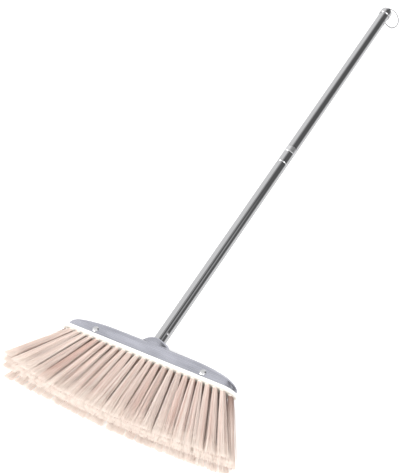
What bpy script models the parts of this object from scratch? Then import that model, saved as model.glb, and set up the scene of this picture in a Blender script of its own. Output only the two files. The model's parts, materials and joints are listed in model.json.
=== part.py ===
"""A broom with a flared brush head and a two-part steel tube handle, lying on its back.

Metres, +Z up. +Y runs up the handle, +X along the head. The origin is the middle of the
object's footprint. Stations along the handle are measured from a point just above the rim
of the neck, and heights from the handle's axis; point() turns both into the broom's frame.
"""

import math

import bmesh
import bpy
from mathutils import Matrix, Vector

# Clearance between separate pieces.
GAP = 0.0003

# Handle: two tubes of one diameter, joined end to end by a screwed plug.
TUBE_RADIUS = 0.0125
TUBE_WALL = 0.001
TUBE_START = -0.0207
JOINT_LOW = 0.522
JOINT_HIGH = 0.538
UPPER_TUBE_END = 1.021
JOINT_RING_RADIUS = 0.0129
ROLLED_GROOVE = 0.4895
ROLLED_GROOVE_DEPTH = 0.0008
ROLLED_GROOVE_HALF_WIDTH = 0.0016
SOCKET_START = 0.470
STUD_RADIUS = 0.008
STUD_START = 0.484
PLUG_END = 0.572
SIDES = 32

# End cap: a skirt over the tube and a hemispherical dome, drilled across for the ring.
CAP_RADIUS = 0.01435
CAP_START = 1.0145
DOME_CENTRE = 1.027
DOME_WALL = 0.0013
RING_HOLE_STATION = 1.0313
RING_HOLE_RADIUS = 0.0032
RING_HOLE_TURN = math.radians(50)
CAP_PIN_STATION = 1.0182
CAP_PIN_TURN = math.radians(82)

# Hanging ring: round wire, hanging from the dome's cross hole.
RING_RADIUS = 0.0228
RING_WIRE_RADIUS = 0.001
RING_SWING = math.radians(69.4)

# Head cover: a pressed shell with straight lower walls, a rounded top and a domed neck.
COVER_HALF_LENGTH = 0.1885
COVER_HALF_DEPTH = 0.0173
COVER_END = 0.0265
COVER_BOTTOM = -0.0426
COVER_RIDGE = -0.0140
COVER_SHEET = 0.001
SHOULDER_START = 0.080
SHOULDER_DROP = 0.026
SHOULDER_POWER = 2.1
NECK_RIM = -0.0035
NECK_BASE = -0.018
NECK_FOOT = -0.0245
NECK_BASE_LENGTH = 0.031
NECK_BASE_DEPTH = 0.0162

# Brush block: a flange that shows under the cover, and a body inside it.
BLOCK_BOTTOM = -0.0506
BLOCK_HALF_LENGTH = 0.1945
BLOCK_HALF_DEPTH = 0.0178
BLOCK_BODY_TOP = -0.0179
BLOCK_EDGE = 0.0012
BLOCK_ROUNDING = 0.0032

# Bristle rows, set in drilled holes: name, number of tufts, half the width at the tips.
ROWS = (
    ("front", 23, 0.244),
    ("second", 25, 0.257),
    ("third", 25, 0.257),
    ("back", 23, 0.244),
)
ROW_SPACING = 0.0072
TUFT_PITCH = 0.01524
TUFT_HOLE_RADIUS = 0.0027
TUFT_HOLE_DEPTH = 0.011
TIP_STATION = -0.178
TIPS_FRONT = 0.0205
AXIS_HEIGHT = 0.0345

# Fixings.
RIVET_X = 0.1205
RIVET_STATION = -0.0356
RIVET_SHANK = 0.0025
RIVET_HEAD = 0.0064
RIVET_TAIL = 0.0040
WASHER_RADIUS = 0.0052
WASHER_THICKNESS = 0.001
SCREW_STATION = 0.0155
SCREW_TURN = math.radians(34)
SCREW_SHANK = 0.0013
SCREW_HEAD = 0.0026
CAP_PIN_HEAD = 0.0021
SPIGOT_END = 0.045
SPIGOT_FOOT = -0.034
SPIGOT_STUB = 0.010
FLANGE_RADIUS = 0.0134
FLANGE_FOOT = -0.024

MIDDLE = (TIP_STATION + DOME_CENTRE + CAP_RADIUS) / 2


def point(x, station, height):
    """A point of the broom's frame from its place along, and its height over, the axis."""
    return Vector((x, station - MIDDLE, height + AXIS_HEIGHT))


# ---------------------------------------------------------------- materials


def make_material(name, colour, roughness, metallic):
    material = bpy.data.materials.new(name)
    material.use_nodes = True
    shader = material.node_tree.nodes["Principled BSDF"]
    shader.inputs["Base Color"].default_value = (*colour, 1.0)
    shader.inputs["Roughness"].default_value = roughness
    shader.inputs["Metallic"].default_value = metallic
    material.diffuse_color = (*colour, 1.0)
    return material


def make_materials():
    rows = {
        "polished_tube": ((0.62, 0.62, 0.64), 0.12, 1.0),
        "chrome_cap": ((0.66, 0.66, 0.68), 0.10, 1.0),
        "satin_cover": ((0.60, 0.61, 0.66), 0.35, 1.0),
        "white_plastic": ((0.90, 0.90, 0.88), 0.40, 0.0),
        "bristle": ((0.86, 0.70, 0.62), 0.50, 0.0),
        "bright_rivet": ((0.75, 0.75, 0.76), 0.18, 1.0),
        "ring_wire": ((0.60, 0.60, 0.60), 0.25, 1.0),
        "grey_plastic": ((0.25, 0.25, 0.26), 0.55, 0.0),
    }
    return {name: make_material(name, *row) for name, row in rows.items()}


# ---------------------------------------------------------------- mesh helpers


def add_object(name, mesh, material, parent=None):
    mesh.materials.append(material)
    mesh.shade_smooth()
    mesh.set_sharp_from_angle(angle=math.radians(35))
    thing = bpy.data.objects.new(name, mesh)
    bpy.context.collection.objects.link(thing)
    if parent is not None:
        thing.parent = parent
        thing.matrix_parent_inverse = Matrix.Identity(4)
    return thing


def loft(name, loops, joined=False):
    """A mesh through equal loops of points: joined end to start, or closed by its two ends."""
    shape = bmesh.new()
    rings = [[shape.verts.new(p) for p in loop] for loop in loops]
    pairs = list(zip(rings, rings[1:]))
    if joined:
        pairs.append((rings[-1], rings[0]))
    count = len(rings[0])
    for low, high in pairs:
        for i in range(count):
            j = (i + 1) % count
            shape.faces.new((low[i], low[j], high[j], high[i]))
    if not joined:
        shape.faces.new(rings[0])
        shape.faces.new(rings[-1])
    bmesh.ops.recalc_face_normals(shape, faces=shape.faces)
    mesh = bpy.data.meshes.new(name)
    shape.to_mesh(mesh)
    shape.free()
    return mesh


def turned(name, profile, hollow=False, sides=SIDES):
    """A mesh turned about +Y from (radius, y) points. A solid one ends in its flat faces."""
    turns = [2 * math.pi * i / sides for i in range(sides)]
    loops = [[(r * math.cos(t), y, r * math.sin(t)) for t in turns] for r, y in profile]
    return loft(name, loops, joined=hollow)


def dome_profile(radius, centre, start, end, steps):
    """(radius, y) points of a sphere between two angles measured from its equator."""
    angles = [start + (end - start) * i / steps for i in range(steps + 1)]
    return [(radius * math.cos(a), centre + radius * math.sin(a)) for a in angles]


def place(thing, station):
    """Puts a turned piece's own origin on the handle's axis."""
    thing.location = point(0, station, 0)


def cutter(name, mesh):
    """A hidden shape that only cuts or joins others."""
    thing = bpy.data.objects.new(name, mesh)
    bpy.context.collection.objects.link(thing)
    thing.hide_render = True
    thing.display_type = "WIRE"
    return thing


def combine(thing, tool, operation):
    step = thing.modifiers.new(operation.lower() + "_" + tool.name, "BOOLEAN")
    step.object = tool
    step.operation = operation
    step.solver = "EXACT"


def rod(name, radius, low, high, sides=16):
    """A hidden cylinder between two points of the broom's frame."""
    mesh = turned(name, [(radius, 0), (radius, (high - low).length)], sides=sides)
    tool = cutter(name, mesh)
    turn = Vector((0, 1, 0)).rotation_difference(high - low)
    tool.matrix_world = Matrix.Translation(low) @ turn.to_matrix().to_4x4()
    return tool


def radial(turn, radius, station):
    """A point at a radius from the handle's axis, turned from +X towards +Z."""
    return point(radius * math.cos(turn), station, radius * math.sin(turn))


# ---------------------------------------------------------------- head


def depth_at(x, half_length, half_depth, end):
    """Half the depth of an oval with straight sides and elliptical ends."""
    past = (abs(x) - (half_length - end)) / end
    return half_depth * math.sqrt(max(0.0, 1 - max(0.0, past) ** 2))


def ridge_at(x):
    """Station of the cover's top line, which falls away towards both ends."""
    past = max(0.0, (abs(x) - SHOULDER_START) / (COVER_HALF_LENGTH - SHOULDER_START + 0.0015))
    return COVER_RIDGE - SHOULDER_DROP * (1 - math.sqrt(1 - past**SHOULDER_POWER))


def cover_stations(half_length):
    """Places along X: even over the middle, closer round the two ends."""
    straight = half_length - COVER_END
    ends = [straight + COVER_END * math.sin(math.radians(a)) for a in range(16, 81, 16)]
    middle = [straight * i / 8 for i in range(-8, 9)]
    return [-x for x in reversed(ends)] + middle + ends


def cover_section(x, inset, bottom, ceiling):
    """The cover's cross-section at x, from its front foot over the top to its back foot."""
    depth = depth_at(x, COVER_HALF_LENGTH - inset, COVER_HALF_DEPTH - inset, COVER_END)
    top = min(ridge_at(x) - inset, ceiling)
    wall = (COVER_BOTTOM + top) / 2
    arc = [math.radians(a) for a in range(0, 181, 15)]
    points = [point(x, bottom, depth)]
    for a in arc:
        across = math.copysign(abs(math.cos(a)) ** 0.8, math.cos(a))
        points.append(point(x, wall + (top - wall) * math.sin(a) ** 0.8, depth * across))
    points.append(point(x, bottom, -depth))
    return points


def head_form(name, inset, bottom, ceiling=0.0):
    """The closed form of the cover, shrunk by an inset."""
    stations = cover_stations(COVER_HALF_LENGTH - inset)
    return loft(name, [cover_section(x, inset, bottom, ceiling) for x in stations])


def neck_loop(length, depth, station, sides=SIDES):
    turns = [2 * math.pi * i / sides for i in range(sides)]
    return [point(length * math.cos(t), station, depth * math.sin(t)) for t in turns]


def neck_form(name, inset=0.0):
    """The domed neck: a round rim that swells to an ellipse and stands on the cover's top."""
    rim = TUBE_RADIUS + GAP + COVER_SHEET - inset
    length = NECK_BASE_LENGTH - inset - rim
    depth = NECK_BASE_DEPTH - inset - rim
    loops = []
    for i in range(8):
        turn = math.radians(90) * i / 7
        across = math.sin(turn)
        station = NECK_RIM - inset - (NECK_RIM - NECK_BASE) * (1 - math.cos(turn))
        loops.append(neck_loop(rim + length * across, rim + depth * across, station))
    loops.append(neck_loop(rim + length, rim + depth, NECK_FOOT))
    return loft(name, loops)


def make_cover(materials):
    mesh = head_form("cover", 0.0, COVER_BOTTOM)
    cover = add_object("cover", mesh, materials["satin_cover"])
    combine(cover, cutter("neck_form", neck_form("neck_form")), "UNION")
    hollow = head_form("cover_hollow", COVER_SHEET, COVER_BOTTOM - 0.004)
    combine(cover, cutter("cover_hollow", hollow), "DIFFERENCE")
    inside = neck_form("neck_hollow", COVER_SHEET * 1.2)
    combine(cover, cutter("neck_hollow", inside), "DIFFERENCE")
    bore = rod("neck_bore", TUBE_RADIUS + GAP, point(0, -0.030, 0), point(0, 0.005, 0), SIDES)
    combine(cover, bore, "DIFFERENCE")
    return cover


def oval_loop(half_length, half_depth, station, end):
    loop = []
    for side in (1, -1):
        for i in range(17):
            t = math.radians(-90 + 180 * i / 16)
            x = side * (half_length - end + end * math.cos(t))
            loop.append(point(x, station, side * half_depth * math.sin(t)))
    return loop


def make_block(materials):
    top = COVER_BOTTOM - GAP
    flange = []
    for i in range(5):
        turn = math.radians(90) * i / 4
        length = BLOCK_HALF_LENGTH - BLOCK_ROUNDING * (1 - math.sin(turn))
        depth = BLOCK_HALF_DEPTH - BLOCK_ROUNDING * (1 - math.sin(turn))
        station = BLOCK_BOTTOM + BLOCK_ROUNDING * (1 - math.cos(turn))
        flange.append(oval_loop(length, depth, station, COVER_END))
    e = BLOCK_EDGE
    flange.append(oval_loop(BLOCK_HALF_LENGTH - 2 * e, BLOCK_HALF_DEPTH, top - e, COVER_END))
    flange.append(oval_loop(BLOCK_HALF_LENGTH - 3 * e, BLOCK_HALF_DEPTH - e, top, COVER_END))
    block = add_object("brush_block", loft("brush_block", flange), materials["white_plastic"])
    body = head_form("block_body", COVER_SHEET + GAP, top - 0.002, BLOCK_BODY_TOP)
    combine(block, cutter("block_body", body), "UNION")
    combine(block, tuft_drill(), "DIFFERENCE")
    seats = ((SPIGOT_STUB, SPIGOT_FOOT), (FLANGE_RADIUS, FLANGE_FOOT))
    for number, (radius, foot) in enumerate(seats):
        low = point(0, foot - GAP, 0)
        seat = rod(f"spigot_seat_{number}", radius + GAP, low, point(0, -0.010, 0), SIDES)
        combine(block, seat, "DIFFERENCE")
    return block


def tuft_xs(row):
    count = ROWS[row][1]
    return [(i - (count - 1) / 2) * TUFT_PITCH for i in range(count)]


def row_height(row):
    """Height of a row's holes over the handle's axis."""
    return ((len(ROWS) - 1) / 2 - row) * ROW_SPACING


def add_peg(shape, x, height, radius, low, high, sides=8):
    """Adds an upright round peg to a bmesh as a body of its own."""
    turns = [2 * math.pi * (i + 0.5) / sides for i in range(sides)]
    rings = []
    for station in (low, high):
        ring = [(x + radius * math.cos(t), station, height + radius * math.sin(t)) for t in turns]
        rings.append([shape.verts.new(point(*p)) for p in ring])
    for i in range(sides):
        j = (i + 1) % sides
        shape.faces.new((rings[0][i], rings[0][j], rings[1][j], rings[1][i]))
    shape.faces.new(rings[0])
    shape.faces.new(rings[1])


def tuft_drill():
    """All the blind holes for the tufts, as one cutter."""
    shape = bmesh.new()
    top = BLOCK_BOTTOM + TUFT_HOLE_DEPTH
    for row in range(len(ROWS)):
        for x in tuft_xs(row):
            add_peg(shape, x, row_height(row), TUFT_HOLE_RADIUS, BLOCK_BOTTOM - 0.002, top)
    bmesh.ops.recalc_face_normals(shape, faces=shape.faces)
    mesh = bpy.data.meshes.new("tuft_drill")
    shape.to_mesh(mesh)
    shape.free()
    return cutter("tuft_drill", mesh)


def fan_loops(row):
    """A row's fan as rectangles from the block down to the cut tips."""
    half = TUFT_HOLE_RADIUS - GAP
    root = row_height(row)
    band = (TIPS_FRONT + AXIS_HEIGHT) / len(ROWS)
    tip_front = TIPS_FRONT - band * row
    tip_back = tip_front - band + (GAP if row < len(ROWS) - 1 else 0)
    width = tuft_xs(row)[-1] + half
    start = BLOCK_BOTTOM - 0.001
    loops = []
    for share in (0.0, 0.25, 0.6, 1.0):
        station = start + (TIP_STATION - start) * share
        x = width + (ROWS[row][2] - width) * share**0.8
        front = root + half + (tip_front - root - half) * share
        back = root - half + (tip_back - root + half) * share
        corners = ((-x, front), (x, front), (x, back), (-x, back))
        loops.append([point(cx, station, cz) for cx, cz in corners])
    return loops


def make_bristle_row(row, materials):
    """One row of tufts: round roots in the block, and one fan below it."""
    name = "bristle_row_" + ROWS[row][0]
    fan = add_object(name, loft(name, fan_loops(row)), materials["bristle"])
    shape = bmesh.new()
    top = BLOCK_BOTTOM + TUFT_HOLE_DEPTH - GAP
    radius = TUFT_HOLE_RADIUS - GAP - 0.00005
    for x in tuft_xs(row):
        add_peg(shape, x, row_height(row), radius, BLOCK_BOTTOM - 0.002, top)
    bmesh.ops.recalc_face_normals(shape, faces=shape.faces)
    mesh = bpy.data.meshes.new(name + "_roots")
    shape.to_mesh(mesh)
    shape.free()
    combine(fan, cutter(name + "_roots", mesh), "UNION")


def make_rivet(side, word, cover, block, materials):
    """A rivet through the cover and the block, with a washer under its peened tail."""
    face = COVER_HALF_DEPTH + GAP
    back = -face
    washer = back - WASHER_THICKNESS
    x = side * RIVET_X
    head = dome_profile(RIVET_HEAD, 0, 0, math.radians(75), 5)
    tail = dome_profile(RIVET_TAIL, 0, 0, math.radians(75), 4)
    profile = [(r, washer - GAP - 0.4 * y) for r, y in reversed(tail)]
    profile += [(RIVET_SHANK, washer - GAP), (RIVET_SHANK, face)]
    profile += [(r, face + 0.36 * y) for r, y in head]
    rivet = add_object("cover_rivet_" + word, turned("rivet", profile, sides=20),
                       materials["bright_rivet"])
    ring = [(RIVET_SHANK + GAP, back), (WASHER_RADIUS, back), (WASHER_RADIUS, washer),
            (RIVET_SHANK + GAP, washer)]
    plate = add_object("rivet_washer_" + word, turned("washer", ring, True, 20),
                       materials["bright_rivet"])
    for thing in (rivet, plate):
        thing.location = point(x, RIVET_STATION, 0)
        thing.rotation_euler = (math.radians(90), 0, 0)
    hole = rod("rivet_hole_" + word, RIVET_SHANK + GAP, point(x, RIVET_STATION, -0.03),
               point(x, RIVET_STATION, 0.03), 20)
    combine(cover, hole, "DIFFERENCE")
    combine(block, hole, "DIFFERENCE")


# ---------------------------------------------------------------- handle


def tube_profile(outline, wall):
    """Outer points up the tube, then the same points one wall further in, back down."""
    return outline + [(r - wall, y) for r, y in reversed(outline)]


def make_spigot(materials):
    """The flanged plug that stands in the block and carries the lower tube."""
    outer = TUBE_RADIUS - TUBE_WALL - GAP
    rest = TUBE_START - GAP
    profile = [(SPIGOT_STUB, SPIGOT_FOOT), (SPIGOT_STUB, FLANGE_FOOT),
               (FLANGE_RADIUS, FLANGE_FOOT), (FLANGE_RADIUS, rest), (outer, rest),
               (outer, SPIGOT_END - 0.002), (outer - 0.002, SPIGOT_END)]
    spigot = add_object("neck_spigot", turned("neck_spigot", profile), materials["grey_plastic"])
    place(spigot, 0)
    return spigot


def make_lower_tube(materials):
    groove = ROLLED_GROOVE
    half = ROLLED_GROOVE_HALF_WIDTH
    dip = TUBE_RADIUS - ROLLED_GROOVE_DEPTH
    outline = [(TUBE_RADIUS, TUBE_START), (TUBE_RADIUS, groove - half), (dip, groove - half / 3),
               (dip, groove + half / 3), (TUBE_RADIUS, groove + half),
               (TUBE_RADIUS, JOINT_LOW)]
    mesh = turned("lower_tube", tube_profile(outline, TUBE_WALL), True)
    tube = add_object("lower_tube", mesh, materials["polished_tube"])
    place(tube, 0)
    return tube


def make_neck_screw(tube, spigot, materials):
    """A small round-headed screw through the tube into the spigot."""
    head_foot = TUBE_RADIUS + GAP
    profile = [(SCREW_SHANK / 3, 0.0052), (SCREW_SHANK, 0.0064), (SCREW_SHANK, head_foot)]
    profile += [(r, head_foot + 0.5 * y) for r, y in
                dome_profile(SCREW_HEAD, 0, 0, math.radians(75), 4)]
    mesh = turned("neck_screw", profile, sides=16)
    screw = add_object("neck_screw", mesh, materials["bright_rivet"])
    screw.location = point(0, SCREW_STATION, 0)
    across = Vector((math.cos(SCREW_TURN), 0, math.sin(SCREW_TURN)))
    screw.rotation_mode = "QUATERNION"
    screw.rotation_quaternion = Vector((0, 1, 0)).rotation_difference(across)
    hole = rod("screw_hole", SCREW_SHANK + GAP, radial(SCREW_TURN, 0.0040, SCREW_STATION),
               radial(SCREW_TURN, 0.020, SCREW_STATION))
    combine(tube, hole, "DIFFERENCE")
    combine(spigot, hole, "DIFFERENCE")


def make_joint_socket(materials):
    """The screwed bush that the rolled groove holds in the lower tube."""
    outer = TUBE_RADIUS - TUBE_WALL - GAP
    waist = outer - ROLLED_GROOVE_DEPTH - 0.0002
    half = ROLLED_GROOVE_HALF_WIDTH + 0.0006
    bore = STUD_RADIUS + GAP
    end = JOINT_LOW - 0.0005
    profile = [(bore, SOCKET_START), (outer, SOCKET_START), (outer, ROLLED_GROOVE - half),
               (waist, ROLLED_GROOVE - half / 2), (waist, ROLLED_GROOVE + half / 2),
               (outer, ROLLED_GROOVE + half), (outer, end), (bore, end)]
    socket = add_object("joint_socket", turned("joint_socket", profile, True),
                        materials["grey_plastic"])
    place(socket, 0)


def make_joint_ring(materials, pivot):
    """The bright ring clamped between the two tubes."""
    low = GAP
    high = JOINT_HIGH - JOINT_LOW - GAP
    r = JOINT_RING_RADIUS
    e = 0.0006
    bore = 0.0093
    profile = [(bore, low), (r - e, low), (r, low + e), (r, high - e), (r - e, high),
               (bore, high)]
    add_object("joint_ring", turned("joint_ring", profile, True), materials["chrome_cap"], pivot)


def make_joint_plug(materials, pivot):
    """The plug fixed in the upper tube, with the stud that screws into the socket."""
    outer = TUBE_RADIUS - TUBE_WALL - GAP
    shoulder = JOINT_HIGH - JOINT_LOW
    profile = [(STUD_RADIUS - 0.0015, STUD_START - JOINT_LOW),
               (STUD_RADIUS, STUD_START - JOINT_LOW + 0.0015), (STUD_RADIUS, 0.0),
               (0.0090, 0.0005), (0.0090, shoulder), (outer, shoulder),
               (outer, PLUG_END - JOINT_LOW)]
    add_object("joint_plug", turned("joint_plug", profile), materials["grey_plastic"], pivot)


def make_upper_tube(materials, pivot):
    outline = [(TUBE_RADIUS, JOINT_HIGH - JOINT_LOW), (TUBE_RADIUS, UPPER_TUBE_END - JOINT_LOW)]
    mesh = turned("upper_tube", tube_profile(outline, TUBE_WALL), True)
    return add_object("upper_tube", mesh, materials["polished_tube"], pivot)


def make_end_cap(materials, pivot):
    """A drawn cap: a skirt over the tube, a dome, and a cross hole for the ring."""
    base = JOINT_LOW
    bore = TUBE_RADIUS + GAP
    inside = CAP_RADIUS - DOME_WALL
    centre = DOME_CENTRE - base
    e = 0.0008
    outer = [(bore, CAP_START - base), (CAP_RADIUS - e, CAP_START - base),
             (CAP_RADIUS, CAP_START - base + e)]
    outer += dome_profile(CAP_RADIUS, centre, 0, math.radians(84), 8)
    inner = dome_profile(inside, centre, math.radians(80), 0, 6)
    inner += [(inside, UPPER_TUBE_END - base + 0.002), (bore, UPPER_TUBE_END - base + 0.0015)]
    cap = add_object("end_cap", capped_shell("end_cap", outer, inner), materials["chrome_cap"],
                     pivot)
    reach = 0.020
    low = radial(RING_HOLE_TURN, -reach, RING_HOLE_STATION)
    high = radial(RING_HOLE_TURN, reach, RING_HOLE_STATION)
    combine(cap, rod("ring_hole", RING_HOLE_RADIUS, low, high, 20), "DIFFERENCE")
    return cap


def capped_shell(name, outer, inner):
    """A turned shell whose outer and inner skins each close in a point on the axis."""
    shape = bmesh.new()
    turns = [2 * math.pi * i / SIDES for i in range(SIDES)]
    rings = []
    for r, y in outer + inner:
        ring = [shape.verts.new((r * math.cos(t), y, r * math.sin(t))) for t in turns]
        rings.append(ring)
    crown = len(outer) - 1
    centre = DOME_CENTRE - JOINT_LOW
    outer_pole = shape.verts.new((0, centre + CAP_RADIUS, 0))
    inner_pole = shape.verts.new((0, centre + CAP_RADIUS - DOME_WALL, 0))
    for k in range(len(rings)):
        low = rings[k]
        high = rings[(k + 1) % len(rings)]
        for i in range(SIDES):
            j = (i + 1) % SIDES
            if k == crown:
                shape.faces.new((low[i], low[j], outer_pole))
                shape.faces.new((high[i], high[j], inner_pole))
            else:
                shape.faces.new((low[i], low[j], high[j], high[i]))
    bmesh.ops.recalc_face_normals(shape, faces=shape.faces)
    mesh = bpy.data.meshes.new(name)
    shape.to_mesh(mesh)
    shape.free()
    return mesh


def make_cap_pin(cap, tube, pivot, materials):
    """The pin that fixes the cap to the tube."""
    head_foot = CAP_RADIUS + GAP
    profile = [(SCREW_SHANK, 0.0100), (SCREW_SHANK, head_foot)]
    profile += [(r, head_foot + 0.4 * y) for r, y in
                dome_profile(CAP_PIN_HEAD, 0, 0, math.radians(75), 4)]
    pin = add_object("cap_pin", turned("cap_pin", profile, sides=16), materials["bright_rivet"],
                     pivot)
    across = Vector((math.cos(CAP_PIN_TURN), 0, math.sin(CAP_PIN_TURN)))
    pin.location = (0, CAP_PIN_STATION - JOINT_LOW, 0)
    pin.rotation_mode = "QUATERNION"
    pin.rotation_quaternion = Vector((0, 1, 0)).rotation_difference(across)
    hole = rod("pin_hole", SCREW_SHANK + GAP, radial(CAP_PIN_TURN, 0.0085, CAP_PIN_STATION),
               radial(CAP_PIN_TURN, 0.020, CAP_PIN_STATION))
    combine(cap, hole, "DIFFERENCE")
    combine(tube, hole, "DIFFERENCE")


def make_hanging_ring(materials):
    """The wire ring, turned about the line of the dome's cross hole."""
    pivot = bpy.data.objects.new("ring_pivot", None)
    bpy.context.collection.objects.link(pivot)
    pivot.location = point(0, RING_HOLE_STATION, 0)
    pivot.rotation_euler = (RING_SWING, -RING_HOLE_TURN, 0)
    rise = RING_HOLE_STATION - DOME_CENTRE
    half_chord = math.sqrt(CAP_RADIUS**2 - rise**2)
    reach = math.sqrt(RING_RADIUS**2 - half_chord**2)
    loops = []
    for i in range(40):
        t = 2 * math.pi * i / 40
        out = Vector((math.cos(t), math.sin(t), 0))
        loop = []
        for k in range(8):
            s = 2 * math.pi * k / 8
            radius = RING_RADIUS + RING_WIRE_RADIUS * math.cos(s)
            loop.append(out * radius + Vector((0, -reach, RING_WIRE_RADIUS * math.sin(s))))
        loops.append(loop)
    mesh = loft("hanging_ring", loops, joined=True)
    add_object("hanging_ring", mesh, materials["ring_wire"], pivot)


def make_handle(materials):
    spigot = make_spigot(materials)
    tube = make_lower_tube(materials)
    make_neck_screw(tube, spigot, materials)
    make_joint_socket(materials)
    pivot = bpy.data.objects.new("handle_screw_axis", None)
    bpy.context.collection.objects.link(pivot)
    pivot.location = point(0, JOINT_LOW, 0)
    make_joint_ring(materials, pivot)
    make_joint_plug(materials, pivot)
    upper = make_upper_tube(materials, pivot)
    cap = make_end_cap(materials, pivot)
    make_cap_pin(cap, upper, pivot, materials)
    make_hanging_ring(materials)


def make_head(materials):
    cover = make_cover(materials)
    block = make_block(materials)
    for side, word in ((-1, "left"), (1, "right")):
        make_rivet(side, word, cover, block, materials)
    for row in range(len(ROWS)):
        make_bristle_row(row, materials)


def main():
    for thing in list(bpy.data.objects):
        bpy.data.objects.remove(thing, do_unlink=True)
    materials = make_materials()
    make_head(materials)
    make_handle(materials)


main()
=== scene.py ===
"""The looks of the floor broom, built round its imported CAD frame."""

import json
import math

import bmesh
import bpy
import numpy as np
from mathutils import Matrix, Vector


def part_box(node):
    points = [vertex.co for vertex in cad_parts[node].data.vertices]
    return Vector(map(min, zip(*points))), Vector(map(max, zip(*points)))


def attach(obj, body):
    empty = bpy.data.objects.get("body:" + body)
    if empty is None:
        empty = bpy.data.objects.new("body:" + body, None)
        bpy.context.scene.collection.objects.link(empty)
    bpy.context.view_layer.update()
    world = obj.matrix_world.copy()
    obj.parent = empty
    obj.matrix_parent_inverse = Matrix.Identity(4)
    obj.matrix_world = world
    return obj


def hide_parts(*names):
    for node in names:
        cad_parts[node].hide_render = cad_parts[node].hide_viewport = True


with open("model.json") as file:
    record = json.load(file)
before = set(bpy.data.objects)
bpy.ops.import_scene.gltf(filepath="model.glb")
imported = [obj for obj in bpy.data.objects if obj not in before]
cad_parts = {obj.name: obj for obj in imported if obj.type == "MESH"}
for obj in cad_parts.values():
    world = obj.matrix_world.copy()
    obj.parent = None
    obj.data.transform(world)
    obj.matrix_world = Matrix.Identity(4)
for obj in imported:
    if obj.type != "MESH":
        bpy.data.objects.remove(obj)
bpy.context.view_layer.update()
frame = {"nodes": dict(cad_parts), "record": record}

HEAD = "head_and_lower_handle"

# The cover's sheet: its shape under the rim, its domed neck and the fineness of its mesh
COVER_END = 0.0265
COVER_SHEET = 0.001
COVER_PROUD = 0.0004
RIDGE_UNDER_RIM = 0.0105
SHOULDER_START = 0.080
SHOULDER_DROP = 0.026
SHOULDER_POWER = 2.1
SHOULDER_MARGIN = 0.0015
NECK_DROP = 0.0145
NECK_LENGTH = 0.031
NECK_DEPTH = 0.0162
NECK_FILLET = 0.0012
NECK_BORE = 0.0129
NECK_SPAN = 0.040
NECK_STEEPNESS = 0.12
NECK_SEARCH_STEPS = 40
SQUARENESS = 0.8
COLUMN = 0.001
WIDE_COLUMN = 0.004
ROW_TURN = 2
SHARP_ANGLE = 40

# The block's flange, and the collar round each tuft
FLANGE_ROUNDING = 0.0032
FLANGE_EDGE = 0.0012
BLOCK_GAP = 0.0003
COLLAR_SHARE = 0.78
COLLAR = (
    (0.0046, 0.0004), (0.0044, -0.0012), (0.0037, -0.0019),
    (0.0028, -0.0017), (0.0026, 0.0004),
)
COLLAR_SIDES = 16

# Bristles
ROW_NODES = ("bristle_row_front", "bristle_row_second", "bristle_row_third", "bristle_row_back")
ROW_TUFTS = (23, 25, 25, 23)
ROW_SPACING = 0.0072
TUFT_PITCH = 0.01524
CLUMPS = 9
STRANDS = 20
CLUMP_REACH = 0.36
GOLDEN_TURN = 2.39996
STRAND_RADIUS = 0.00028
STRAND_SIDES = 3
TIP_TAPER = 0.8
FLOOR_GAP = 0.0001
# A tuft's half width and half depth at shares of its length
SHARES = (0.0, 0.03, 0.10, 0.22, 0.36, 0.55, 0.78, 1.0)
HALF_WIDTHS = (0.0027, 0.0052, 0.0062, 0.0073, 0.0084, 0.0094, 0.0106, 0.0128)
HALF_DEPTHS = (0.0026, 0.0031, 0.0034, 0.0038, 0.0042, 0.0045, 0.0048, 0.0050)
# Each row's cut: its lowest station, and the middle and share of its band at the tips
CUTS = (-0.1765, -0.1785, -0.1800, -0.1870)
BAND_PLACES = (0.50, 0.42, 0.30, 0.62)
CUT_RISE = 0.0135
CUT_REACH = 0.24
TIP_INSET = 0.011
ROOT_INSET = 0.002
CUT_LEVEL = -0.178
# The left end's flare: how much lower each row is cut there, and how far it leans out
LEFT_DROPS = (-0.010, -0.004, 0.002, 0.006)
LEFT_SWEEPS = (0.020, 0.013, 0.013, 0.020)
LEFT_LIMIT = -0.2575
# How much painted shade, in brown, each row gets at its roots, and on its back at its tips
ROOT_PAINTED_SHADE = (0.0, 0.75, 0.8, 0.8)
SEAM_PAINTED_SHADE = (0.7, 0.0, 0.95, 0.40)
SEED = 7

# The studio: a white room, a dark panel beside the handle and a lamp strip across the panel.
# Turns are degrees round the handle from straight up, and reaches are shares along it.
ROOM_LIGHT = 1.3
SIDE_LEVEL = 0.78
PANEL_TURNS = (0, 105)
PANEL_LEVEL = 0.12
PANEL_SOFTNESS = 14
STRIP_TURNS = (35, 50)
STRIP_LEVEL = 0.5
STRIP_SOFTNESS = 10
STRIP_REACH = (0.50, 0.57)
ROOM_END = (0.80, 0.92)
ROOM_FOOT = (0.28, 0.38)

# The camera, at the photo's viewing angle: metres, millimetres of lens and degrees of roll
CAMERA_PLACE = (0.8581, -1.1570, 1.4885)
CAMERA_GAZE = (-0.4648, 0.4936, -0.7350)
CAMERA_ROLL = -16.55
CAMERA_LENS = 74.41
CAMERA_SENSOR = 36.0


def look(name, colour, roughness, metallic=0.0, **sockets):
    """A Principled material with its plain values on the shader's own sockets."""
    made = bpy.data.materials.new(name)
    made.use_nodes = True
    shader = made.node_tree.nodes["Principled BSDF"]
    shader.inputs["Base Color"].default_value = (*colour, 1.0)
    shader.inputs["Roughness"].default_value = roughness
    shader.inputs["Metallic"].default_value = metallic
    for socket, value in sockets.items():
        shader.inputs[socket.replace("_", " ")].default_value = value
    return made


def node(tree, kind, inputs=None, **settings):
    """Adds a shader node, with its settings and its inputs given by name."""
    made = tree.nodes.new("ShaderNode" + kind)
    for key, value in settings.items():
        setattr(made, key, value)
    for key, value in (inputs or {}).items():
        if isinstance(value, bpy.types.NodeSocket):
            tree.links.new(value, made.inputs[key])
        else:
            made.inputs[key].default_value = value
    return made


def shader_of(material):
    return material.node_tree.nodes["Principled BSDF"]


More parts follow.
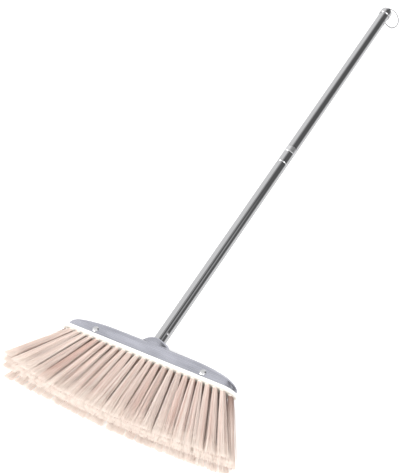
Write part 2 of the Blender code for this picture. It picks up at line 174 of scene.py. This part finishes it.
def grain(material, stretch, scale, detail=3.0):
    """A noise value over the row frame, stretched by a scale for each axis."""
    tree = material.node_tree
    place = node(tree, "TexCoord").outputs["Object"]
    mapped = node(tree, "Mapping", {"Vector": place, "Scale": stretch}).outputs["Vector"]
    return node(tree, "TexNoise", {"Vector": mapped, "Scale": scale, "Detail": detail}).outputs["Fac"]


def ranged(material, value, low, high, start=0.3, end=0.7):
    """A value taken from its own range, start to end, to the range low to high."""
    spread = {"Value": value, "From Min": start, "From Max": end, "To Min": low, "To Max": high}
    return node(material.node_tree, "MapRange", spread).outputs["Result"]


def drive(material, socket, value):
    material.node_tree.links.new(value, shader_of(material).inputs[socket])


def bump(material, height, strength, distance):
    tree = material.node_tree
    relief = node(tree, "Bump", {"Height": height, "Strength": strength, "Distance": distance})
    tree.links.new(relief.outputs["Normal"], shader_of(material).inputs["Normal"])


def blend(material, value, first, second):
    """A colour between two, by a value from 0 to 1."""
    mix = node(material.node_tree, "Mix", {"Factor": value}, data_type="RGBA")
    mix.inputs[6].default_value = (*first, 1.0)
    mix.inputs[7].default_value = (*second, 1.0)
    return mix.outputs[2]


def polished_tube():
    made = look("polished_tube", (0.56, 0.56, 0.57), 0.12, 1.0)
    lines = grain(made, (260, 2.5, 260), 4.0)
    drive(made, "Roughness", ranged(made, lines, 0.03, 0.08))
    bump(made, lines, 0.015, 0.0002)
    return made


def satin_cover():
    made = look("satin_cover", (0.58, 0.59, 0.66), 0.34, 1.0)
    lines = grain(made, (3, 160, 160), 5.0)
    smear = grain(made, (14, 60, 60), 1.0)
    drive(made, "Roughness", ranged(made, lines, 0.20, 0.34))
    metal = blend(made, ranged(made, smear, 0, 1), (0.38, 0.385, 0.43), (0.50, 0.505, 0.565))
    drive(made, "Base Color", metal)
    bump(made, lines, 0.12, 0.0002)
    return made


def chrome():
    made = look("chrome", (0.60, 0.60, 0.61), 0.06, 1.0)
    haze = grain(made, (1, 1, 1), 220.0)
    drive(made, "Roughness", ranged(made, haze, 0.04, 0.12))
    return made


def chrome_cap():
    """The bright cap; the joint ring, lower on the handle, is duller and lighter."""
    made = look("chrome_cap", (0.60, 0.60, 0.61), 0.06, 1.0)
    tree = made.node_tree
    y = node(tree, "SeparateXYZ", {"Vector": node(tree, "TexCoord").outputs["Object"]}).outputs["Y"]
    low = ranged(made, y, 1.0, 0.0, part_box("joint_ring")[1].y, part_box("end_cap")[0].y)
    drive(made, "Roughness", ranged(made, low, 0.08, 0.30, 0.0, 1.0))
    drive(made, "Base Color", blend(made, low, (0.60, 0.60, 0.61), (0.70, 0.70, 0.71)))
    return made


def ring_wire():
    made = look("ring_wire", (0.20, 0.20, 0.21), 0.3, 1.0)
    dull = grain(made, (1, 1, 1), 300.0)
    drive(made, "Roughness", ranged(made, dull, 0.22, 0.4))
    return made


def white_plastic():
    made = look("white_plastic", (0.92, 0.92, 0.91), 0.42)
    skin = grain(made, (1, 1, 1), 900.0)
    tone = grain(made, (8, 40, 40), 1.0)
    drive(made, "Roughness", ranged(made, skin, 0.36, 0.5))
    tree = made.node_tree
    plastic_tone = blend(made, ranged(made, tone, 0, 1), (0.90, 0.90, 0.885), (0.94, 0.94, 0.93))
    place = node(tree, "TexCoord").outputs["Object"]
    y = node(tree, "SeparateXYZ", {"Vector": place}).outputs["Y"]
    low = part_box("brush_block")[0].y
    # Painted shade: the lowest few millimetres of the block, its rolled lower edge, are darkened towards a
    # cream-brown, darkest at the bottom.
    lip_painted_shade = ranged(made, y, 1.0, 0.0, low + 0.001, low + 0.0042)
    drive(made, "Base Color", mixed(tree, lip_painted_shade, plastic_tone, (0.70, 0.67, 0.61)))
    bump(made, skin, 0.15, 0.0002)
    return made


def grey_plastic():
    made = look("grey_plastic", (0.12, 0.12, 0.13), 0.5)
    skin = grain(made, (1, 1, 1), 900.0)
    drive(made, "Roughness", ranged(made, skin, 0.4, 0.6))
    bump(made, skin, 0.15, 0.0002)
    return made


def bristle():
    """Pink-beige filament, cream towards the cut end, with painted shade: brown at the roots and on the
    backs of the tips, where strands lie deep in the tufts.
    """
    made = look("bristle", (0.95, 0.85, 0.78), 0.42)
    tree = made.node_tree
    strand = node(tree, "Attribute", attribute_name="strand").outputs["Fac"]
    along = node(tree, "Attribute", attribute_name="along").outputs["Fac"]
    # Painted shade: the third attribute darkens strands towards brown at the roots of the back and side
    # strands and rows, and on the backs of the tips.
    cover = node(tree, "Attribute", attribute_name="painted_shade").outputs["Fac"]
    colour = blend(made, strand, (0.85, 0.63, 0.55), (1.0, 0.90, 0.83))
    colour = mixed(tree, ranged(made, along, 0.0, 0.6, 0.72, 1.0), colour, (1.0, 0.915, 0.83))
    colour = mixed(tree, cover, colour, (0.34, 0.16, 0.11))
    drive(made, "Base Color", colour)
    drive(made, "Roughness", ranged(made, strand, 0.35, 0.5, 0.0, 1.0))
    return made


def mixed(tree, factor, colour, second):
    """A driven colour, mixed with a plain one by a driven factor."""
    mix = node(tree, "Mix", {"Factor": factor}, data_type="RGBA")
    tree.links.new(colour, mix.inputs[6])
    mix.inputs[7].default_value = (*second, 1.0)
    return mix.outputs[2]


def strands(name, paths, shade, painted_shade, material):
    """Round strands along paths, an array of strands by rings by 3, each closed at both ends."""
    count, rings, _ = paths.shape
    heading = np.gradient(paths, axis=1)
    heading /= np.linalg.norm(heading, axis=2, keepdims=True)
    side = np.cross(heading, (0.0, 0.0, 1.0))
    side /= np.linalg.norm(side, axis=2, keepdims=True)
    up = np.cross(side, heading)
    turns = 2 * math.pi * np.arange(STRAND_SIDES) / STRAND_SIDES
    taper = np.ones(rings)
    taper[-1] = TIP_TAPER
    ring = side[:, :, None] * np.cos(turns)[:, None] + up[:, :, None] * np.sin(turns)[:, None]
    points = paths[:, :, None] + ring * (STRAND_RADIUS * taper)[:, None, None]
    index = np.arange(count * rings * STRAND_SIDES).reshape(count, rings, STRAND_SIDES)
    following = np.roll(index, -1, axis=2)
    walls = np.stack([index[:, 1:], following[:, 1:], following[:, :-1], index[:, :-1]], axis=-1)
    caps = np.concatenate([index[:, 0], index[:, -1, ::-1]])
    corners = np.concatenate([walls.ravel(), caps.ravel()])
    sizes = np.concatenate([np.full(walls.size // 4, 4), np.full(len(caps), STRAND_SIDES)])
    mesh = bpy.data.meshes.new(name)
    mesh.vertices.add(points.size // 3)
    mesh.vertices.foreach_set("co", points.astype(np.float32).ravel())
    mesh.loops.add(corners.size)
    mesh.loops.foreach_set("vertex_index", corners.astype(np.int32))
    mesh.polygons.add(len(sizes))
    mesh.polygons.foreach_set("loop_start", (np.cumsum(sizes) - sizes).astype(np.int32))
    mesh.update(calc_edges=True)
    per_point = np.broadcast_to(shade[:, None, None], (count, rings, STRAND_SIDES))
    share = np.broadcast_to(np.array(SHARES)[None, :, None], (count, rings, STRAND_SIDES))
    painted_shade_points = np.broadcast_to(painted_shade[:, :, None], (count, rings, STRAND_SIDES))
    # The third attribute carries each point's painted shade.
    for label, values in (("strand", per_point), ("along", share), ("painted_shade", painted_shade_points)):
        layer = mesh.attributes.new(label, "FLOAT", "POINT")
        layer.data.foreach_set("value", np.ascontiguousarray(values, dtype=np.float32).ravel())
    mesh.shade_smooth()
    mesh.materials.append(material)
    made = bpy.data.objects.new(name, mesh)
    bpy.context.scene.collection.objects.link(made)
    return made


def tuft(root, tip, end_station, spread, draw):
    """Strand paths of one tuft, from its hole to its cut end, and how far back and how far out to the sides
    each strand lies in it, the masks of its painted shade.
    """
    count = CLUMPS * STRANDS
    order = np.arange(CLUMPS)
    turn = np.repeat(order * GOLDEN_TURN + draw.uniform(0, 2 * math.pi), STRANDS)
    reach = np.repeat(0.74 * np.sqrt((order + 0.4) / CLUMPS), STRANDS)
    own_turn = draw.uniform(0, 2 * math.pi, count)
    own_reach = CLUMP_REACH * np.sqrt(draw.uniform(0, 1, count))
    across = reach * np.cos(turn) + own_reach * np.cos(own_turn)
    deep = reach * np.sin(turn) + own_reach * np.sin(own_turn)
    shares = np.array(SHARES)
    widths = np.array(HALF_WIDTHS) * (1 + (spread - 1) * shares)
    line = root + (tip - root) * shares[:, None]
    paths = np.broadcast_to(line, (count, len(shares), 3)).copy()
    wander = draw.normal(0, 0.0007, (count, 2))
    paths[:, :, 0] += across[:, None] * widths + wander[:, :1] * shares**2
    paths[:, :, 2] += deep[:, None] * np.array(HALF_DEPTHS) + 0.6 * wander[:, 1:] * shares**2
    paths[:, :, 2] = np.maximum(paths[:, :, 2], STRAND_RADIUS + FLOOR_GAP)
    ends = end_station(paths[:, -1, 0]) + draw.normal(0, 0.0012, count)
    paths[:, :, 1] = root[1] + (ends[:, None] - root[1]) * shares
    return paths, np.clip((-deep - 0.25) / 0.5, 0, 1), np.clip(np.abs(across) - 0.7, 0, 1)


def bristle_row(row, material, draw):
    """A row of tufts: strands that leave the block's holes and fan out to the cut tips."""
    node_name = ROW_NODES[row]
    low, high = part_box(node_name)
    block_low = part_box("brush_block")[0]
    count = ROW_TUFTS[row]
    axis = handle_axis()
    root_z = axis + (1.5 - row) * ROW_SPACING
    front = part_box(ROW_NODES[0])[1].z
    band = front / len(ROW_NODES)
    tip_z = front - band * (row + BAND_PLACES[row])
    shares = np.array(SHARES)
    near_root = np.clip(1 - shares / 0.45, 0, 1)
    near_tip = np.clip((shares - 0.78) / 0.22, 0, 1)
    paths, shade, painted_shade = [], [], []
    for i in range(count):
        place = 2 * i / (count - 1) - 1
        root = np.array([place * (count - 1) / 2 * TUFT_PITCH, block_low.y + ROOT_INSET, root_z])
        lean = draw.normal(0, (0.0014, 0.0005))
        left = max(0.0, -place) ** 4
        reach = place * (high.x - TIP_INSET) - LEFT_SWEEPS[row] * left + lean[0]
        tip = np.array([max(reach, LEFT_LIMIT), low.y, tip_z + lean[1]])
        cut = low.y + CUTS[row] - CUT_LEVEL + draw.normal(0, 0.0002)
        drop = LEFT_DROPS[row] * left
        spread = 1 + draw.normal(0, 0.08)
        lowest = cut - drop
        made, back, side = tuft(root, tip, lambda x: lowest + CUT_RISE * (x / CUT_REACH) ** 2, spread, draw)
        paths.append(made)
        tone = 0.62 + draw.normal(0, 0.10)
        clump_tones = np.repeat(draw.normal(0, 0.12, CLUMPS), STRANDS)
        shade.append(np.clip(tone + clump_tones + draw.normal(0, 0.22, CLUMPS * STRANDS), 0, 1))
        # Painted shade: brown on the roots of back and side strands and of the rows behind the front, and on
        # the backs of the tips.
        painted_root_shade = (0.35 * back + 0.5 * side + ROOT_PAINTED_SHADE[row])[:, None] * near_root
        painted_shade.append(np.clip(painted_root_shade + SEAM_PAINTED_SHADE[row] * back[:, None] * near_tip, 0, 0.92))
    name = node_name.replace("bristle_row", "bristles")
    made = strands(name, np.concatenate(paths), np.concatenate(shade), np.concatenate(painted_shade), material)
    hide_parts(node_name)
    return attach(made, HEAD)


def handle_axis():
    """Height of the handle's axis over the floor."""
    low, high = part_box("lower_tube")
    return (low.z + high.z) / 2


def quads(name, rows, material):
    """A mesh through equal rows of points."""
    count = len(rows[0])
    points = [tuple(p) for row in rows for p in row]
    faces = []
    for k in range(len(rows) - 1):
        for i in range(count - 1):
            here = k * count + i
            faces.append((here, here + 1, here + count + 1, here + count))
    mesh = bpy.data.meshes.new(name)
    mesh.from_pydata(points, [], faces)
    mesh.materials.append(material)
    return mesh


def neck_height(x, z, rim):
    """Height of the domed neck over the head, as far along the handle as its surface reaches."""
    start = NECK_BORE + COVER_SHEET
    low = np.full(x.shape, -1.0)
    high = np.full(x.shape, 8.0)
    for _ in range(NECK_SEARCH_STEPS):
        middle = (low + high) / 2
        length = np.maximum(start + (NECK_LENGTH - start) * middle, 1e-4)
        depth = np.maximum(start + (NECK_DEPTH - start) * middle, 1e-4)
        outside = (x / length) ** 2 + (z / depth) ** 2 > 1
        low = np.where(outside, middle, low)
        high = np.where(outside, high, middle)
    share = np.clip(low, 0, 1)
    fall = NECK_DROP * (1 - np.sqrt(1 - share**2))
    return rim - fall - np.maximum(low - 1, 0) * NECK_STEEPNESS


def cover_columns(half_length):
    """Places across the head: close at the neck, wide over the arms, close again round the ends."""
    straight = half_length - COVER_END
    neck = np.arange(0, NECK_SPAN, COLUMN)
    arm = np.linspace(NECK_SPAN, straight, round((straight - NECK_SPAN) / WIDE_COLUMN))
    end = straight + COVER_END * np.sin(np.radians(np.arange(4, 87, 3)))
    right = np.concatenate([neck, arm, end])
    return np.concatenate([-right[:0:-1], right])


def make_cover(material):
    """The pressed cover as one sheet, with the neck drawn out of its top in a soft fillet."""
    low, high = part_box("cover")
    axis = handle_axis()
    half_length = high.x + COVER_PROUD
    half_depth = high.z - axis
    x = cover_columns(half_length)
    past = np.maximum(0, np.abs(x) - (half_length - COVER_END)) / COVER_END
    depth = half_depth * np.sqrt(np.maximum(0, 1 - past**2))
    slope = np.maximum(0, np.abs(x) - SHOULDER_START) / (half_length - SHOULDER_START + SHOULDER_MARGIN)
    top = high.y - RIDGE_UNDER_RIM - SHOULDER_DROP * (1 - np.sqrt(1 - slope**SHOULDER_POWER))
    wall = (low.y + top) / 2
    turns = np.radians(np.arange(0, 181, ROW_TURN))
    across = np.sign(np.cos(turns)) * np.abs(np.cos(turns)) ** SQUARENESS
    grid_x = np.repeat(x[:, None], len(turns), axis=1)
    grid_z = depth[:, None] * across
    shell = wall[:, None] + (top - wall)[:, None] * np.sin(turns) ** SQUARENESS
    neck = neck_height(grid_x, grid_z, high.y)
    soft = NECK_FILLET * np.logaddexp(shell / NECK_FILLET, neck / NECK_FILLET)
    grid_y = np.minimum(soft, high.y)
    feet = [np.stack([x, np.full(x.shape, low.y), side * depth], axis=1) for side in (1, -1)]
    walls = [(foot + np.stack([grid_x[:, k], grid_y[:, k], grid_z[:, k]], axis=1)) / 2
             for foot, k in zip(feet, (0, -1))]
    grid = np.stack([grid_x, grid_y, grid_z], axis=2)
    before = [feet[0][:, None], walls[0][:, None]]
    after = [walls[1][:, None], feet[1][:, None]]
    grid = np.concatenate([*before, grid, *after], axis=1)
    radius = np.hypot(grid[:, :, 0], grid[:, :, 2])
    on_top = grid[:, :, 1] > high.y - RIDGE_UNDER_RIM
    inside = (radius < NECK_BORE) & on_top
    grow = np.where(inside, NECK_BORE / np.maximum(radius, 1e-6), 1.0)
    grid[:, :, 0] *= grow
    grid[:, :, 2] *= grow
    grid[:, :, 2] += axis
    mesh = quads("cover_sheet", grid, material)
    shape = bmesh.new()
    shape.from_mesh(mesh)
    shape.verts.ensure_lookup_table()
    flags = inside.ravel()
    bored = [face for face in shape.faces if all(flags[v.index] for v in face.verts)]
    count = grid.shape[1]
    for start in (0, (len(x) - 1) * count):
        for k in range(count // 2 - 1):
            ring = (start + k, start + k + 1, start + count - 2 - k, start + count - 1 - k)
            shape.faces.new([shape.verts[i] for i in ring])
    shape.faces.ensure_lookup_table()
    bmesh.ops.delete(shape, geom=bored, context="FACES")
    bmesh.ops.dissolve_degenerate(shape, dist=1e-5, edges=shape.edges)
    bmesh.ops.recalc_face_normals(shape, faces=shape.faces)
    highest = max(shape.faces, key=lambda face: face.calc_center_median().z)
    if highest.normal.z < 0:
        bmesh.ops.reverse_faces(shape, faces=shape.faces)
    shape.to_mesh(mesh)
    shape.free()
    made = bpy.data.objects.new("cover_sheet", mesh)
    bpy.context.scene.collection.objects.link(made)
    sheet = made.modifiers.new("sheet", "SOLIDIFY")
    sheet.thickness = COVER_SHEET
    sheet.offset = -1
    graph = bpy.context.evaluated_depsgraph_get()
    thick = bpy.data.meshes.new_from_object(made.evaluated_get(graph))
    made.modifiers.clear()
    made.data = thick
    thick.shade_smooth()
    thick.set_sharp_from_angle(angle=math.radians(SHARP_ANGLE))
    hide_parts("cover")
    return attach(made, HEAD)


def oval(half_length, half_depth, y, axis):
    """A loop of the flange: straight sides and half-elliptical ends."""
    turns = np.radians(np.linspace(-90, 90, 33))
    halves = []
    for side in (1, -1):
        x = side * (half_length - COVER_END + COVER_END * np.cos(turns))
        halves.append(np.stack([x, np.full(x.shape, y), axis + side * half_depth * np.sin(turns)], axis=1))
    return np.concatenate(halves)


def add_rings(shape, rings, joined):
    """Adds a skin through equal closed loops to a bmesh: joined end to start, or closed by two faces."""
    made = [[shape.verts.new(p) for p in ring] for ring in rings]
    pairs = list(zip(made, made[1:]))
    if joined:
        pairs.append((made[-1], made[0]))
    else:
        shape.faces.new(made[0])
        shape.faces.new(made[-1])
    for first, second in pairs:
        for i in range(len(first)):
            j = (i + 1) % len(first)
            shape.faces.new((first[i], first[j], second[j], second[i]))


def make_block(material):
    """The block's flange with its rolled lower edge, and a moulded collar round each tuft."""
    low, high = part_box("brush_block")
    axis = handle_axis()
    half_depth = high.z - axis
    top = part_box("cover")[0].y - BLOCK_GAP
    rings = []
    for turn in np.radians(np.linspace(0, 90, 9)):
        inset = FLANGE_ROUNDING * (1 - math.sin(turn))
        y = low.y + FLANGE_ROUNDING * (1 - math.cos(turn))
        rings.append(oval(high.x - inset, half_depth - inset, y, axis))
    for turn in np.radians(np.linspace(0, 90, 5)):
        inset = FLANGE_EDGE * (1 - math.cos(turn))
        y = top - FLANGE_EDGE * (1 - math.sin(turn))
        rings.append(oval(high.x - inset - FLANGE_EDGE * math.sin(turn), half_depth - inset, y, axis))
    shape = bmesh.new()
    add_rings(shape, rings, False)
    turns = 2 * math.pi * np.arange(COLLAR_SIDES) / COLLAR_SIDES
    for row, count in enumerate(ROW_TUFTS):
        z = axis + (1.5 - row) * ROW_SPACING
        for i in range(count):
            x = (i - (count - 1) / 2) * TUFT_PITCH
            collar = []
            for radius, y in COLLAR:
                deep = COLLAR_SHARE * radius
                collar.append([(x + radius * math.cos(t), low.y + y, z + deep * math.sin(t)) for t in turns])
            add_rings(shape, collar, True)
    bmesh.ops.recalc_face_normals(shape, faces=shape.faces)
    mesh = bpy.data.meshes.new("tuft_block")
    shape.to_mesh(mesh)
    shape.free()
    mesh.shade_smooth()
    mesh.set_sharp_from_angle(angle=math.radians(SHARP_ANGLE))
    mesh.materials.append(material)
    made = bpy.data.objects.new("tuft_block", mesh)
    bpy.context.scene.collection.objects.link(made)
    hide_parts("brush_block")
    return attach(made, HEAD)


def dress(materials):
    """Gives each CAD node that stays its better material."""
    for subpart in frame["record"]["subparts"]:
        kept = frame["nodes"][subpart["node"]]
        kept.data.materials.clear()
        kept.data.materials.append(materials[subpart["material_slot"]])


def make_floor():
    mesh = bpy.data.meshes.new("floor")
    mesh.from_pydata([(-6, -6, 0), (6, -6, 0), (6, 6, 0), (-6, 6, 0)], [], [(0, 1, 2, 3)])
    floor = bpy.data.objects.new("floor", mesh)
    floor.location.z = -0.0002
    bpy.context.scene.collection.objects.link(floor)
    paint = look("floor", (0.96, 0.96, 0.96), 0.9)
    shader_of(paint).inputs["Emission Color"].default_value = (1, 1, 1, 1)
    shader_of(paint).inputs["Emission Strength"].default_value = 0.3
    mesh.materials.append(paint)
    floor.visible_glossy = False


def band(tree, turn, turns, softness):
    """1 between two turns round the handle, falling softly to 0 outside them."""
    start, end = (math.radians(t) for t in turns)
    soft = math.radians(softness)
    rise = smooth(tree, turn, start - soft, start + soft, 0.0, 1.0)
    fall = smooth(tree, turn, end - soft, end + soft, 1.0, 0.0)
    return product(tree, rise, fall)


def product(tree, first, second):
    return node(tree, "Math", {0: first, 1: second}, operation="MULTIPLY").outputs[0]


def between(tree, factor, first, second):
    return node(tree, "Mix", {"Factor": factor, 2: first, 3: second}, data_type="FLOAT").outputs[0]


def make_world():
    """A white room with a dark panel on one side of the handle, and a lamp strip in the panel."""
    world = bpy.data.worlds.new("studio")
    bpy.context.scene.world = world
    world.use_nodes = True
    tree = world.node_tree
    heading = node(tree, "TexCoord").outputs["Generated"]
    x, y, z = node(tree, "SeparateXYZ", {"Vector": heading}).outputs
    turn = node(tree, "Math", {0: x, 1: z}, operation="ARCTAN2").outputs[0]
    strip = band(tree, turn, STRIP_TURNS, STRIP_SOFTNESS)
    strip = product(tree, strip, smooth(tree, y, *STRIP_REACH, 1.0, 0.0))
    panel = between(tree, strip, PANEL_LEVEL, STRIP_LEVEL)
    sides = between(tree, band(tree, turn, PANEL_TURNS, PANEL_SOFTNESS), SIDE_LEVEL, panel)
    lower = smooth(tree, y, *ROOM_FOOT, 0.0, 1.0)
    upper = smooth(tree, y, *ROOM_END, 1.0, 0.0)
    room = between(tree, product(tree, lower, upper), 1.0, sides)
    level = product(tree, room, ROOM_LIGHT)
    tree.links.new(level, tree.nodes["Background"].inputs["Strength"])
    tree.nodes["Background"].inputs["Color"].default_value = (1, 1, 1, 1)


def smooth(tree, value, start, end, low, high):
    spread = {"Value": value, "From Min": start, "From Max": end, "To Min": low, "To Max": high}
    return node(tree, "MapRange", spread, interpolation_type="SMOOTHSTEP").outputs["Result"]


def make_light(name, place, size, power):
    lamp = bpy.data.lights.new(name, "AREA")
    lamp.shape = "DISK"
    lamp.size = size
    lamp.energy = power
    made = bpy.data.objects.new(name, lamp)
    made.location = place
    made.rotation_mode = "QUATERNION"
    made.rotation_quaternion = (-Vector(place)).to_track_quat("-Z", "Y")
    bpy.context.scene.collection.objects.link(made)


def make_camera():
    lens = bpy.data.cameras.new("camera")
    lens.lens = CAMERA_LENS
    lens.sensor_width = CAMERA_SENSOR
    made = bpy.data.objects.new("camera", lens)
    made.location = CAMERA_PLACE
    gaze = Vector(CAMERA_GAZE)
    roll = Matrix.Rotation(math.radians(CAMERA_ROLL), 4, "Z")
    turned = gaze.to_track_quat("-Z", "Y").to_matrix().to_4x4()
    made.matrix_world = Matrix.Translation(made.location) @ turned @ roll
    bpy.context.scene.collection.objects.link(made)
    bpy.context.scene.camera = made


def main():
    materials = {
        "polished_tube": polished_tube(),
        "chrome_cap": chrome_cap(),
        "satin_cover": satin_cover(),
        "white_plastic": white_plastic(),
        "bristle": bristle(),
        "bright_rivet": chrome(),
        "ring_wire": ring_wire(),
        "grey_plastic": grey_plastic(),
    }
    dress(materials)
    make_cover(materials["satin_cover"])
    make_block(materials["white_plastic"])
    draw = np.random.default_rng(SEED)
    for row in range(len(ROW_NODES)):
        bristle_row(row, materials["bristle"], draw)
    make_floor()
    make_world()
    make_light("key", (-1.9, -1.6, 2.4), 1.5, 42)
    make_light("fill", (1.9, -1.9, 2.0), 1.5, 24)
    make_camera()
    bpy.context.scene.view_settings.view_transform = "Standard"


main()
